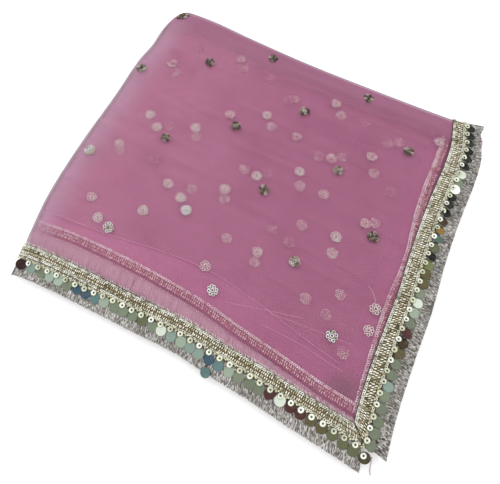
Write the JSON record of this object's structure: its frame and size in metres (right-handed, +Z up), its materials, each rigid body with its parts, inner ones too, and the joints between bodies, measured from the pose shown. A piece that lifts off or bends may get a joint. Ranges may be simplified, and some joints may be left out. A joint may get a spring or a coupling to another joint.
{
  "type": "folded dupatta stole",
  "caption": "Sheer net dupatta stole folded to a flat near-square pack, with sequin flowers and a gota braid, mirror sequin and tinsel fringe trim on its front and right edges.",
  "frame": {"origin": "centre of the folded pack's plan box, on the surface that it lies on", "axes": "+Z up from that surface, through the pack's thickness; -Y towards the trimmed front edge; +X towards the trimmed side edge"},
  "size_m": [0.3337, 0.298, 0.0168],
  "materials": {
    "net_top": "sheer mauve pink net",
    "net_second": "sheer mauve pink net",
    "net_inner": "many plies of mauve pink net",
    "gota_braid": "pale gold zari and gota braid",
    "gota_under": "gota braid seen from its back",
    "mirror_sequin": "mirror-coated sequins",
    "tinsel": "silver champagne tinsel threads",
    "tinsel_under": "tinsel threads seen through net",
    "tinsel_lower": "silver champagne tinsel threads, in shade"
  },
  "bodies": {
    "root": {"top_ply": "net_top", "second_ply": "net_second", "inner_folds": "net_inner", "lace_front": "gota_braid", "lace_side": "gota_braid", "under_lace_front": "gota_under", "under_lace_side": "gota_under", "disc_row_front": "mirror_sequin", "disc_row_side": "mirror_sequin", "fringe_front": "tinsel", "fringe_side": "tinsel", "under_fringe_front": "tinsel_under", "lower_fringe_front": "tinsel_lower", "lower_fringe_side": "tinsel_lower"}
  },
  "joints": []
}
